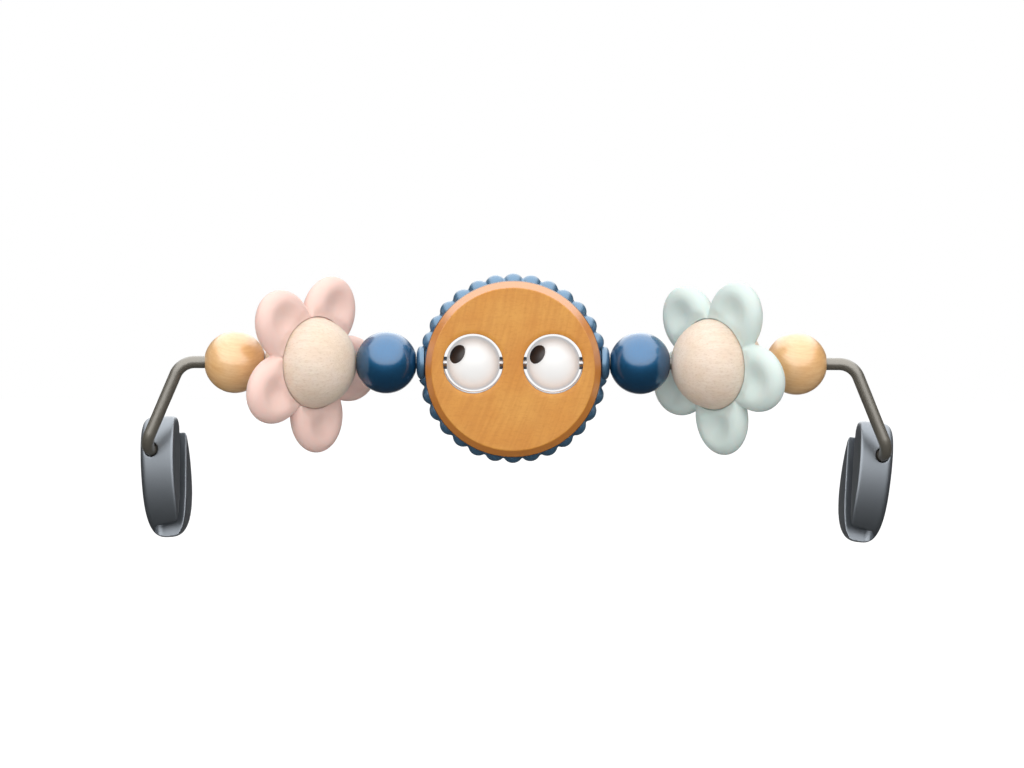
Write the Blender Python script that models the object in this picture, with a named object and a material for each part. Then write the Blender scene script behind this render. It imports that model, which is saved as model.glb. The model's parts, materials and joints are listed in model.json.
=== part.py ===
"""Bouncer toy bar, in metres, +Z up, +Y away from the child's side.

A string of wooden and moulded pieces on a bent steel wire, with a slotted clip swivelling on
each end of the wire. The origin is midway between the seats of the two clips.
"""

import math

import bmesh
import bpy
from mathutils import Matrix, Vector

MM = 0.001

# Fits
running_gap = 0.3 * MM  # between pieces that rest or turn against each other
cut_overrun = 2 * MM  # how far a cutter reaches past the face that it opens
weld_distance = 0.001 * MM

# Carrier wire: a straight bar, two slanted arms and two feet that turn back into the clips
wire_diameter = 7 * MM
bar_ends = (13.8 * MM, 15.3 * MM)  # string's end to where the bar and arm centre lines meet
arm_spread = 20.7 * MM  # from there outwards to where the arm and foot centre lines meet
arm_drops = (48.3 * MM, 50.4 * MM)  # bar centre line down to that point, left and right
corner_bend_radius = 12 * MM
foot_bend_radius = 9 * MM
foot_standoff = 0.4 * MM  # straight wire between the foot bend and the clip
wire_end_chamfer = 0.6 * MM
stop_collar_height = 0.7 * MM  # pressed collars on the bar that the end beads bear on
stop_collar_length = 1.6 * MM
collar_slope = 0.3 * MM
wire_sides = 12
bore_sides = 16
wire_bend_steps = 6

# Beads
bead_diameter = 35 * MM
bead_mouth_diameter = 9.5 * MM
bead_mouth_depth = 0.8 * MM
bead_recess_depth = 2.2 * MM  # hides the wire's collar in each end bead
bead_sides = 20
bead_arc_steps = 9
string_play = 2.9 * MM  # spare length between the two stops
play_inside_share = 0.25  # part of the string's spare length that lies inside the right flower

# Clips: an upright oval, cut by a leaning slot that is open inwards and at both ends
clip_height = 69 * MM
clip_depth = 27.4 * MM
clip_width = 21.8 * MM
clip_slot_gap = 9.6 * MM
clip_outer_wall = 3 * MM
clip_inner_edge_radius = 1.2 * MM
clip_outer_edge_radius = 4 * MM
clip_top_roundness = 7.0  # exponents of the oval's ends, seen from the front
clip_bottom_roundness = 4.2
clip_lean_deg = 11.0  # slot and pivot lean, top away from the child
clip_yaw_deg = 19.0  # clips face outwards
clip_roll_degs = (4.1, 7.8)  # how far the left and right clip hang with their lower ends inwards
pivot_height = 16.7 * MM  # above the middle of the clip
pivot_outward = 3 * MM
pivot_bore_diameter = 8.6 * MM
retainer_diameter = 10 * MM
retainer_thickness = 1.2 * MM
retainer_lip = 0.5 * MM
retainer_recess_depth = 3.2 * MM
clip_rings = 16
clip_corner_steps = 3
clip_corner_share = 0.95  # most of the outline's smaller half that a corner may take up
clip_slot_steps = 8
pivot_sides = 16

# Flowers: two half balls either side of a petal ring, skewered at an angle
flower_diameter = 52 * MM
flower_turn_deg = 47.0
flower_lean_degs = (1.8, 5.4)  # tops towards the child
petal_count = 5
petal_first_deg = 62.4
petal_centre_radius = 30.5 * MM
petal_half_length = 21.6 * MM
petal_half_width = 19.8 * MM
petal_crest_height = 6.2 * MM  # half the thickness at a petal's crest
petal_edge_radius = 7.5 * MM
petal_dish_depth = 3.2 * MM
dish_centre_radius = 35 * MM
dish_outer_length = 12 * MM
dish_inner_length = 27 * MM
dish_half_width = 14 * MM
seat_half_thickness = 3.5 * MM  # half the thickness of the ring between the half balls
seat_slope = 0.6 * MM
petal_columns = 10
petal_row_shares = (0.0, 0.26, 0.5, 0.72, 0.9, 1.0)
dome_sides = 22
dome_arc_steps = 6
dowel_diameter = 4 * MM
dowel_reach = 9 * MM
dowel_inset = 9.5 * MM  # half balls' rim to the dowels' circle
dowel_degs = (90.0, 270.0)
dowel_sides = 10

# Wheel: two wooden discs either side of a moulded ring with a row of round knobs
wheel_diameter = 99.4 * MM
wheel_hang = 3 * MM  # wheel centre below the bar, so that the wheel hangs upright
disc_thickness = 8.5 * MM
disc_chamfer = 4 * MM
core_thickness = 11.4 * MM
core_inset = 4.2 * MM  # discs' rim to the core's rim
knob_count = 30
knob_inset = 2 * MM  # discs' rim to the circle of the knobs' middles
knob_radius = 6 * MM
knob_columns = 4
knob_rows = 4
hub_thickness = 4.5 * MM  # each hub's flange, at the bar
hub_rim_thickness = 1.6 * MM
hub_diameter = 19 * MM
hub_stem_diameter = 9.6 * MM
hub_stem_length = 8 * MM
hub_seat_relief = 0.7 * MM  # how far the hubs' seats are cut into the core's rim
hub_arc_steps = 3
hub_sides = 20
wheel_pin_diameter = 4 * MM
wheel_pin_length = 22 * MM
wheel_pin_inset = 12.7 * MM  # discs' rim to the pins' circle
wheel_pin_degs = (90.0, 222.0, 318.0)
disc_sides = 60
pin_sides = 10

# Eyes: balls that roll on the bar inside the wheel's two holes
eye_rim_wall = 10.3 * MM  # wood between an eye's hole and the discs' rim
eye_bridge = 11.2 * MM  # wood between the two holes
eye_clearance = 1.6 * MM
eye_hole_chamfer = 3.2 * MM
pupil_diameter = 11 * MM
pupil_depth = 3 * MM
pupil_direction = (-0.68, -0.605, 0.415)
eye_sides = 20
eye_arc_steps = 8
eye_hole_sides = 28
pupil_sides = 16
pupil_arc_steps = 4

smooth_angle_deg = 35.0

# Worked out from the sizes above
bore_radius = wire_diameter / 2 + running_gap
mouth_radius = bead_mouth_diameter / 2
bead_radius = bead_diameter / 2
bead_face = math.sqrt(bead_radius**2 - mouth_radius**2)  # a bead's middle to the end of its bore
flower_radius = flower_diameter / 2
flower_face = math.sqrt(flower_radius**2 - mouth_radius**2)
dowel_circle_radius = flower_radius - dowel_inset
wheel_radius = wheel_diameter / 2
core_radius = wheel_radius - core_inset
knob_circle_radius = wheel_radius - knob_inset
wheel_pin_radius = wheel_radius - wheel_pin_inset
hub_seat = wheel_radius + running_gap  # wheel's axis to the inner face of each hub's flange
hub_rim_reach = hub_seat + hub_rim_thickness
hub_reach = hub_seat + hub_thickness
eye_hole_diameter = (wheel_diameter - 2 * eye_rim_wall - eye_bridge) / 2
eye_spacing = eye_hole_diameter + eye_bridge
eye_diameter = eye_hole_diameter - 2 * eye_clearance
string_length = 8 * bead_face + 4 * flower_face + 2 * hub_reach + 6 * running_gap + string_play
bar_corner_reach = (string_length + sum(bar_ends)) / 2  # middle of the bar to its corners
foot_reach = bar_corner_reach + arm_spread
string_reaches = (bar_corner_reach - bar_ends[0], bar_corner_reach - bar_ends[1])

finishes = {  # colour, roughness, metallic
    "wire": ((0.30, 0.28, 0.24), 0.45, 0.3),
    "clip": ((0.08, 0.10, 0.13), 0.42, 0.0),
    "retainer": ((0.55, 0.56, 0.58), 0.3, 1.0),
    "birch": ((0.80, 0.56, 0.29), 0.5, 0.0),
    "raw_birch": ((0.74, 0.60, 0.47), 0.7, 0.0),
    "disc_wood": ((0.66, 0.36, 0.14), 0.5, 0.0),
    "blue_gloss": ((0.02, 0.10, 0.25), 0.15, 0.0),
    "blue_satin": ((0.09, 0.19, 0.36), 0.4, 0.0),
    "pink": ((0.83, 0.58, 0.52), 0.6, 0.0),
    "mint": ((0.60, 0.74, 0.70), 0.6, 0.0),
    "eye_white": ((0.88, 0.88, 0.87), 0.25, 0.0),
    "pupil": ((0.015, 0.013, 0.012), 0.25, 0.0),
    "dowel": ((0.70, 0.52, 0.33), 0.7, 0.0),
}


def material(name):
    made = bpy.data.materials.new(name)
    made.use_nodes = True
    shader = made.node_tree.nodes["Principled BSDF"]
    colour, roughness, metallic = finishes[name]
    shader.inputs["Base Color"].default_value = (*colour, 1.0)
    shader.inputs["Roughness"].default_value = roughness
    shader.inputs["Metallic"].default_value = metallic
    made.diffuse_color = (*colour, 1.0)
    return made


def add(name, mesh, finish=None, placed=Matrix(), parent=None):
    """One object. Its mesh is local to its own origin, and placed puts it in its parent's space."""
    obj = bpy.data.objects.new(name, mesh)
    bpy.context.scene.collection.objects.link(obj)
    obj.parent = parent
    obj.matrix_basis = placed
    if finish:
        mesh.materials.clear()
        mesh.materials.append(material(finish))
        mesh.shade_smooth()
        mesh.set_sharp_from_angle(angle=math.radians(smooth_angle_deg))
    return obj


def empty(name, placed, parent=None):
    return add(name, None, placed=placed, parent=parent)


def to_mesh(name, bm):
    bmesh.ops.remove_doubles(bm, verts=bm.verts, dist=weld_distance)
    bmesh.ops.recalc_face_normals(bm, faces=bm.faces)
    mesh = bpy.data.meshes.new(name)
    bm.to_mesh(mesh)
    bm.free()
    return mesh


def turned(name, profile, sides, about=Matrix()):
    """A profile of (along, out) points, spun once round X and then turned by about.

    A profile that starts and ends on the axis is left open there, and any other is closed."""
    bm = bmesh.new()
    verts = [bm.verts.new((along, 0, out)) for along, out in profile]
    edges = [bm.edges.new(pair) for pair in zip(verts, verts[1:])]
    if profile[0][1] > weld_distance:
        edges.append(bm.edges.new((verts[-1], verts[0])))
    bmesh.ops.spin(
        bm, geom=verts + edges, cent=(0, 0, 0), axis=(1, 0, 0), angle=math.tau, steps=sides, use_merge=True
    )
    bmesh.ops.transform(bm, matrix=about, verts=bm.verts)
    return to_mesh(name, bm)


def arc(radius, first_deg, last_deg, steps, centre=(0.0, 0.0)):
    """Points (along, out) on an arc, measured from the +X axis towards outwards."""
    found = []
    for step in range(steps + 1):
        turn = math.radians(first_deg + (last_deg - first_deg) * step / steps)
        found.append((centre[0] + radius * math.cos(turn), centre[1] + radius * math.sin(turn)))
    return found


def round_bar(name, radius, start, end, sides):
    """A plain cylinder between two places on X."""
    return turned(name, [(start, 0), (start, radius), (end, radius), (end, 0)], sides)


def cutter(name, mesh, placed=Matrix(), parent=None):
    obj = add(name, mesh, placed=placed, parent=parent)
    obj.hide_render = True
    obj.display_type = "WIRE"
    return obj


def cut(obj, tool):
    boolean = obj.modifiers.new(tool.name, "BOOLEAN")
    boolean.operation = "DIFFERENCE"
    boolean.solver = "EXACT"
    boolean.object = tool


def joined(name, meshes):
    """Several closed meshes as one mesh of separate bodies."""
    bm = bmesh.new()
    for mesh in meshes:
        bm.from_mesh(mesh)
    return to_mesh(name, bm)


def moved(mesh, matrix):
    made = mesh.copy()
    made.transform(matrix)
    return made


def turn(deg, axis):
    return Matrix.Rotation(math.radians(deg), 4, axis)


def place(x=0.0, y=0.0, z=0.0):
    return Matrix.Translation((x, y, z))


x_to_front = turn(-90, "Z")  # turns a shape made along +X to face the child, along -Y


# Wire


def foot_axis(side):
    """Direction in which the wire's foot enters the clip. side is -1 on the left, 1 on the right."""
    yaw = math.radians(clip_yaw_deg)
    lean = math.radians(clip_lean_deg)
    level = math.cos(lean)
    return Vector((-side * math.sin(yaw) * level, math.cos(yaw) * level, -math.sin(lean)))


def bend(before, corner, after, radius, steps):
    """Points of an arc that rounds a corner between two straight runs."""
    into = (corner - before).normalized()
    out = (after - corner).normalized()
    half_turn = into.angle(out) / 2
    reach = radius * math.tan(half_turn)
    centre_way = (out - into).normalized()
    centre = corner + centre_way * (radius / math.cos(half_turn))
    start = corner - into * reach
    normal = into.cross(out).normalized()
    spoke = start - centre
    turns = [2 * half_turn * step / steps for step in range(steps + 1)]
    return [centre + Matrix.Rotation(angle, 3, normal) @ spoke for angle in turns]


def bend_reach(turn_angle, radius):
    return radius * math.tan(turn_angle / 2)


def wire_corners(side):
    corner = Vector((side * bar_corner_reach, 0, 0))
    foot = Vector((side * foot_reach, 0, -arm_drops[0 if side < 0 else 1]))
    return corner, foot


def pivot_point(side):
    """Where the wire meets the clip's outer face: the clip's own origin."""
    corner, foot = wire_corners(side)
    axis = foot_axis(side)
    reach = bend_reach((foot - corner).angle(axis), foot_bend_radius)
    return foot + axis * (reach + foot_standoff)


def clip_front_y(height):
    """Depth of the clip's outer face, ahead of its middle, at a height from its middle."""
    return -clip_depth / 2 * math.sqrt(1 - (2 * height / clip_height) ** 2)


def clip_wall_at_pivot():
    """Thickness of the clip's front wall along the pivot's axis."""
    lean = math.radians(clip_lean_deg)
    ahead = -clip_front_y(pivot_height) * math.cos(lean) + pivot_height * math.sin(lean)
    return ahead - clip_slot_gap / 2


def wire_end_depth():
    """From the clip's outer face to the wire's end, inside the retainer's recess."""
    return clip_wall_at_pivot() - retainer_recess_depth + running_gap + retainer_thickness + retainer_lip


def wire_route():
    """Centre points and radii along the wire, from the left end to the right."""
    radius = wire_diameter / 2
    middle = Vector((0, 0, 0))
    swell = radius + stop_collar_height
    halves = []
    for side in (-1, 1):
        corner, foot = wire_corners(side)
        end = pivot_point(side) + foot_axis(side) * wire_end_depth()
        half = [(end, radius - wire_end_chamfer), (end - foot_axis(side) * wire_end_chamfer, radius)]
        half += [(p, radius) for p in bend(end, foot, corner, foot_bend_radius, wire_bend_steps)]
        half += [(p, radius) for p in bend(foot, corner, middle, corner_bend_radius, wire_bend_steps)]
        outer = string_reaches[0 if side < 0 else 1] - running_gap
        inner = outer - stop_collar_length
        collar = [(outer, radius), (outer - collar_slope, swell)]
        collar += [(inner + collar_slope, swell), (inner, radius)]
        half += [(Vector((side * reach, 0, 0)), size) for reach, size in collar]
        halves.append(half)
    return halves[0] + halves[1][::-1]


def swept(name, route, sides):
    """A round bar along a route, with a frame carried along it and flat ends."""
    bm = bmesh.new()
    points = [point for point, _ in route]
    side_way = Vector((0, 0, 1))
    rings = []
    for index, (point, radius) in enumerate(route):
        ahead = (points[min(index + 1, len(points) - 1)] - points[max(index - 1, 0)]).normalized()
        side_way = (side_way - ahead * side_way.dot(ahead)).normalized()
        up_way = ahead.cross(side_way)
        ring = []
        for step in range(sides):
            angle = math.tau * step / sides
            spoke = side_way * math.cos(angle) + up_way * math.sin(angle)
            ring.append(bm.verts.new(point + spoke * radius))
        rings.append(ring)
    for near, far in zip(rings, rings[1:]):
        for step in range(sides):
            after = (step + 1) % sides
            bm.faces.new((near[step], near[after], far[after], far[step]))
    bm.faces.new(rings[0])
    bm.faces.new(rings[-1])
    return to_mesh(name, bm)


# Beads


def bead_profile(recess_depth):
    """A bored ball. The mouth at -X is a countersink, and the one at +X a recess of a given depth."""
    first = math.degrees(math.asin(mouth_radius / bead_radius))
    profile = arc(bead_radius, first, 180 - first, bead_arc_steps)
    profile.append((bead_mouth_depth - bead_face, bore_radius))
    if recess_depth:
        floor = bead_face - recess_depth
        profile += [(floor, bore_radius), (floor, mouth_radius)]
    else:
        profile.append((bead_face - bead_mouth_depth, bore_radius))
    return profile


# Clips


def clip_section(height):
    """The clip's outline at a height from its middle: a rectangle with rounded corners."""
    share = min(abs(2 * height / clip_height), 1)
    roundness = clip_top_roundness if height > 0 else clip_bottom_roundness
    half_width = clip_width / 2 * (1 - share**roundness) ** (1 / roundness)
    half_depth = clip_depth / 2 * math.sqrt(1 - share**2)
    corner_limit = min(half_width, half_depth) * clip_corner_share
    inner = min(clip_inner_edge_radius, corner_limit)
    outer = min(clip_outer_edge_radius, corner_limit)
    points = []
    for x_sign, y_sign, radius, first in (
        (1, 1, inner, 0), (-1, 1, outer, 90), (-1, -1, outer, 180), (1, -1, inner, 270)
    ):
        centre = (x_sign * (half_width - radius), y_sign * (half_depth - radius))
        points += arc(radius, first, first + 90, clip_corner_steps, centre)
    return points


def clip_body():
    """The oval block, lofted through its sections. The left clip's inner side is +X."""
    bm = bmesh.new()
    rings = []
    for index in range(clip_rings):
        swing = math.pi * (index + 0.5) / clip_rings
        height = -clip_height / 2 * math.cos(swing)
        rings.append([bm.verts.new((x, y, height)) for x, y in clip_section(height)])
    for low, high in zip(rings, rings[1:]):
        count = len(low)
        for step in range(count):
            after = (step + 1) % count
            bm.faces.new((low[step], low[after], high[after], high[step]))
    for ring, height in ((rings[0], -clip_height / 2), (rings[-1], clip_height / 2)):
        tip = bm.verts.new((0, 0, height))
        for step, vert in enumerate(ring):
            bm.faces.new((vert, ring[(step + 1) % len(ring)], tip))
    return to_mesh("clip_block", bm)


def slot_cutter():
    """The slot: a long round-ended slab, leaning with the pivot's axis square to it."""
    half_gap = clip_slot_gap / 2
    floor = -clip_width / 2 + clip_outer_wall + half_gap
    mouth = clip_width / 2 + cut_overrun
    outline = arc(half_gap, 90, 270, clip_slot_steps, (floor, 0.0))
    outline += [(mouth, -half_gap), (mouth, half_gap)]
    bm = bmesh.new()
    face = bm.faces.new([bm.verts.new((x, y, -clip_height)) for x, y in outline])
    grown = bmesh.ops.extrude_face_region(bm, geom=[face])
    raised = [item for item in grown["geom"] if isinstance(item, bmesh.types.BMVert)]
    bmesh.ops.translate(bm, vec=(0, 0, 2 * clip_height), verts=raised)
    mesh = to_mesh("clip_slot", bm)
    mesh.transform(turn(-clip_lean_deg, "X"))
    return mesh


def pivot_cutter():
    """The pivot's bore with the retainer's recess behind it, along +X from the clip's outer face."""
    wall = clip_wall_at_pivot()
    bore = pivot_bore_diameter / 2
    recess = retainer_diameter / 2 + running_gap
    shoulder = wall - retainer_recess_depth
    profile = [(-cut_overrun, 0), (-cut_overrun, bore), (shoulder, bore), (shoulder, recess)]
    profile += [(wall + clip_slot_gap / 2, recess), (wall + clip_slot_gap / 2, 0)]
    return turned("clip_pivot_bore", profile, pivot_sides)


def clip_mesh():
    """The finished left clip, with its origin where the pivot's axis meets its outer face."""
    block = add("clip_block", clip_body())
    slot = cutter("clip_slot_tool", slot_cutter())
    pivot = Vector((-pivot_outward, clip_front_y(pivot_height), pivot_height))
    along = turn(-clip_lean_deg, "X") @ turn(90, "Z")
    bore = cutter("clip_bore_tool", pivot_cutter(), Matrix.Translation(pivot) @ along)
    cut(block, slot)
    cut(block, bore)
    mesh = finished(block, "clip")
    mesh.transform(Matrix.Translation(-pivot))
    for spare in (block, slot, bore):
        bpy.data.objects.remove(spare)
    return mesh


def finished(obj, name):
    """The object's mesh with its modifiers applied."""
    graph = bpy.context.evaluated_depsgraph_get()
    mesh = bpy.data.meshes.new_from_object(obj.evaluated_get(graph))
    mesh.name = name
    return mesh


def mirrored(mesh):
    made = mesh.copy()
    made.transform(Matrix.Scale(-1, 4, (1, 0, 0)))
    made.flip_normals()
    return made


def clip_place(side):
    roll = side * clip_roll_degs[0 if side < 0 else 1]
    hang = Matrix.Rotation(math.radians(roll), 4, foot_axis(side))
    return Matrix.Translation(pivot_point(side)) @ hang @ turn(side * clip_yaw_deg, "Z")


def seat_point(side):
    """Middle of the clip's slot, where the seat's frame goes."""
    floor = -clip_width / 2 + clip_outer_wall
    half_way = (floor + clip_width / 2) / 2
    seat = Vector((half_way + pivot_outward, -clip_front_y(pivot_height), -pivot_height))
    seat.x *= -side
    return clip_place(side) @ seat


# Flowers


def petal_edge(angle):
    """Distance from the flower's centre to its outline, in a direction off a petal's middle."""
    a, b, c = petal_half_length, petal_half_width, petal_centre_radius
    square = (math.cos(angle) / a) ** 2 + (math.sin(angle) / b) ** 2
    middle = math.cos(angle) * c / a**2
    return (middle + math.sqrt(middle**2 - square * ((c / a) ** 2 - 1))) / square


def petal_height(angle, radius):
    """Half thickness of the ring at a place given from a petal's middle line."""
    out = radius * math.cos(angle)
    across = radius * math.sin(angle)
    spread = math.hypot((out - petal_centre_radius) / petal_half_length, across / petal_half_width)
    edge_share = petal_edge_radius / petal_half_width
    past = max(0, (min(spread, 1) - 1 + edge_share) / edge_share)
    crown = petal_crest_height * math.sqrt(1 - past**2)
    length = dish_outer_length if out > dish_centre_radius else dish_inner_length
    inside = math.hypot((out - dish_centre_radius) / length, across / dish_half_width)
    dish = petal_dish_depth * (1 + math.cos(math.pi * min(inside, 1))) / 2
    return max(crown - dish, 0)


def petal_ring():
    """The petal ring, facing -Y, with a flat seat for a half ball on each face."""
    bm = bmesh.new()
    columns = petal_count * petal_columns
    seat = flower_radius + running_gap
    fronts, backs = [], []
    for column in range(columns):
        petal, step = divmod(column, petal_columns)
        off = math.tau / petal_count * (step / petal_columns - 0.5)
        angle = math.radians(petal_first_deg) + math.tau * petal / petal_count + off
        way = Vector((math.cos(angle), 0, math.sin(angle)))
        edge = petal_edge(off)
        rows = [(seat, seat_half_thickness)]
        first = seat + seat_slope
        for share in petal_row_shares:
            radius = first + (edge - first) * share
            rows.append((radius, petal_height(off, radius) if share < 1 else 0))
        rim = bm.verts.new(way * edge)
        lift = Vector((0, -1, 0))
        fronts.append([bm.verts.new(way * r + lift * h) for r, h in rows[:-1]] + [rim])
        backs.append([bm.verts.new(way * r - lift * h) for r, h in rows[:-1]] + [rim])
    for lines in (fronts, backs):
        for near, far in zip(lines, lines[1:] + lines[:1]):
            for row in range(len(near) - 1):
                bm.faces.new((near[row], near[row + 1], far[row + 1], far[row]))
        bm.faces.new([line[0] for line in lines])
    return to_mesh("petals", bm)


def dome():
    """A half ball, facing +X, with its flat a running gap off the petal ring's seat."""
    flat = seat_half_thickness + running_gap
    first = math.degrees(math.acos(flat / flower_radius))
    profile = arc(flower_radius, 0, first, dome_arc_steps)
    profile[0] = (flower_radius, 0)
    profile.append((flat, 0))
    return turned("dome", profile, dome_sides)


def flower(name, side, x, finish, root):
    label = "left" if side < 0 else "right"
    lean = flower_lean_degs[0 if side < 0 else 1]
    axis = empty(name + "_axis", place(x) @ turn(lean, "X"), root)
    facing = turn(-side * flower_turn_deg, "Z")
    reach = seat_half_thickness + dowel_reach
    holes = []
    for number, deg in enumerate(dowel_degs, 1):
        at = turn(-deg, "Y") @ place(dowel_circle_radius) @ x_to_front
        radius = dowel_diameter / 2
        pin = round_bar("dowel", radius, -reach, reach, dowel_sides)
        add(f"{name}_dowel_{number}", pin, "dowel", facing @ at, axis)
        wide, deep = radius + running_gap, reach + running_gap
        holes.append(moved(round_bar("hole", wide, -deep, deep, dowel_sides), at))
    hole_tool = cutter(name + "_dowel_tool", joined("holes", holes), facing, axis)
    bore = round_bar("bore", bore_radius, -flower_diameter, flower_diameter, bore_sides)
    bore_tool = cutter(name + "_bore_tool", bore, parent=axis)
    pieces = [
        add(name + "_front_dome", moved(dome(), x_to_front), "raw_birch", facing, axis),
        add(name + "_back_dome", moved(dome(), turn(90, "Z")), "raw_birch", facing, axis),
        add(label + "_petals", petal_ring(), finish, facing, axis),
    ]
    for piece in pieces:
        cut(piece, hole_tool)
        cut(piece, bore_tool)


# Wheel and eyes


def half_core():
    return core_thickness / 2


def disc_face():
    """Wheel's middle plane to the face of a disc."""
    return half_core() + running_gap + disc_thickness


def disc():
    """A wooden disc, facing +X, with its outer edge chamfered."""
    radius = wheel_radius
    back = half_core() + running_gap
    face = disc_face()
    profile = [(back, 0), (back, radius), (face - disc_chamfer, radius)]
    profile += [(face, radius - disc_chamfer), (face, 0)]
    return turned("disc", profile, disc_sides)


def eye_hole(at_x):
    """One eye's hole through the whole wheel, along Y, flared at both faces."""
    radius = eye_hole_diameter / 2
    face = disc_face()
    flare = eye_hole_chamfer + cut_overrun
    start = -face - cut_overrun
    profile = [(start, 0), (start, radius + flare), (-face + eye_hole_chamfer, radius)]
    profile += [(along * -1, out) for along, out in reversed(profile)]
    return moved(turned("eye_hole", profile, eye_hole_sides), place(at_x) @ x_to_front)


def knob_ring():
    """The moulded ring: a flat plate whose rim carries a row of balls, in the XZ plane."""
    bm = bmesh.new()
    columns = knob_count * knob_columns
    lines = []
    for column in range(columns):
        angle = math.tau * column / columns + math.pi / 2
        off = math.tau / knob_count * ((column % knob_columns) / knob_columns)
        off = min(off, math.tau / knob_count - off)
        line = []
        for row in range(knob_rows + 1):
            depth = half_core() * math.sin(math.pi * (row / knob_rows - 0.5))
            inside = knob_radius**2 - (knob_circle_radius * math.sin(off)) ** 2 - depth**2
            reach = knob_circle_radius * math.cos(off) + math.sqrt(max(inside, 0))
            radius = max(core_radius, reach) if inside > 0 else core_radius
            line.append(bm.verts.new((radius * math.cos(angle), depth, radius * math.sin(angle))))
        lines.append(line)
    for near, far in zip(lines, lines[1:] + lines[:1]):
        for row in range(knob_rows):
            bm.faces.new((near[row], near[row + 1], far[row + 1], far[row]))
    bm.faces.new([line[0] for line in lines])
    bm.faces.new([line[-1] for line in lines])
    return to_mesh("knob_ring", bm)


def hub():
    """A domed flange on a stem, on the bar's axis, facing +X."""
    edge = hub_diameter / 2
    drop = hub_reach - hub_rim_reach
    rise = edge - mouth_radius
    profile = [(hub_reach, bore_radius)]
    for step in range(hub_arc_steps + 1):
        swing = math.pi / 2 * step / hub_arc_steps
        profile.append((hub_rim_reach + drop * math.cos(swing), mouth_radius + rise * math.sin(swing)))
    stem = hub_stem_diameter / 2
    inner = hub_seat - hub_stem_length
    profile += [(hub_seat, edge), (hub_seat, stem), (inner, stem), (inner, bore_radius)]
    return turned("hub", profile, hub_sides)


def wheel(x, root):
    axis = empty("wheel_axis", place(x), root)
    centre = place(z=-wheel_hang)
    eye_holes = joined("eye_holes", [eye_hole(-eye_spacing / 2), eye_hole(eye_spacing / 2)])
    eye_tool = cutter("wheel_eye_tool", eye_holes, parent=axis)
    pin_holes = []
    for number, deg in enumerate(wheel_pin_degs, 1):
        at = turn(-deg, "Y") @ place(wheel_pin_radius) @ x_to_front
        radius, half = wheel_pin_diameter / 2, wheel_pin_length / 2
        pin = round_bar("wheel_pin", radius, -half, half, pin_sides)
        add(f"wheel_pin_{number}", pin, "dowel", centre @ at, axis)
        wide, deep = radius + running_gap, half + running_gap
        pin_holes.append(moved(round_bar("pin_hole", wide, -deep, deep, pin_sides), at))
    pin_tool = cutter("wheel_pin_tool", joined("pin_holes", pin_holes), centre, axis)
    flange, stem = hub_diameter / 2 + running_gap, hub_stem_diameter / 2 + running_gap
    inner = hub_seat - hub_stem_length - running_gap
    outer = hub_reach + cut_overrun
    shoulder = core_radius - hub_seat_relief
    half = [(inner, bore_radius), (inner, stem), (shoulder, stem)]
    half += [(shoulder, flange), (outer, flange), (outer, 0)]
    profile = [(-along, out) for along, out in reversed(half)] + half
    bore_tool = cutter("wheel_bore_tool", turned("wheel_bore", profile, hub_sides), parent=axis)
    front = add("wheel_front_disc", moved(disc(), x_to_front), "disc_wood", centre, axis)
    back = add("wheel_back_disc", moved(disc(), turn(90, "Z")), "disc_wood", centre, axis)
    ring = add("wheel_knob_ring", knob_ring(), "blue_satin", centre, axis)
    for piece in (front, back, ring):
        cut(piece, eye_tool)
        cut(piece, pin_tool)
    cut(ring, bore_tool)
    add("wheel_right_hub", hub(), "blue_satin", parent=axis)
    add("wheel_left_hub", moved(hub(), turn(180, "Z")), "blue_satin", parent=axis)


def eye_profile():
    """A bored ball."""
    radius = eye_diameter / 2
    first = math.degrees(math.asin(bore_radius / radius))
    return arc(radius, first, 180 - first, eye_arc_steps)


def pupil(radius):
    """A plug along +X whose outer face follows the eye's ball."""
    ball = eye_diameter / 2
    rim = math.degrees(math.asin(radius / ball))
    profile = arc(ball, 0, rim, pupil_arc_steps)
    profile[0] = (ball, 0)
    inner = ball - pupil_depth
    profile += [(inner, radius), (inner, 0)]
    return turned("pupil", profile, pupil_sides)


def pupil_pocket(radius):
    ball = eye_diameter / 2
    inner = ball - pupil_depth - running_gap
    return round_bar("pupil_pocket", radius, inner, ball + cut_overrun, pupil_sides)


def eye(label, x, root):
    axis = empty(label + "_eye_axis", place(x), root)
    look = Vector(pupil_direction).to_track_quat("X", "Z").to_matrix().to_4x4()
    pocket = cutter(label + "_pupil_tool", pupil_pocket(pupil_diameter / 2 + running_gap), look, axis)
    ball = add(label + "_eye", turned("eye", eye_profile(), eye_sides), "eye_white", parent=axis)
    cut(ball, pocket)
    add(label + "_pupil", pupil(pupil_diameter / 2), "pupil", look, axis)


# Assembly


def string_places():
    """Where each piece of the string sits on the bar, worked out from the left stop."""
    left_end = bead_face - string_reaches[0]
    right_end = string_reaches[1] - bead_face
    bead_to_flower = bead_face + running_gap + flower_face
    hub_to_bead = hub_reach + running_gap + bead_face
    left_flower = left_end + bead_to_flower
    left_bead = left_flower + bead_to_flower
    middle = left_bead + hub_to_bead
    right_bead = middle + hub_to_bead
    right_flower = right_bead + bead_to_flower + string_play * play_inside_share
    return left_end, left_flower, left_bead, middle, right_bead, right_flower, right_end


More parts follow.
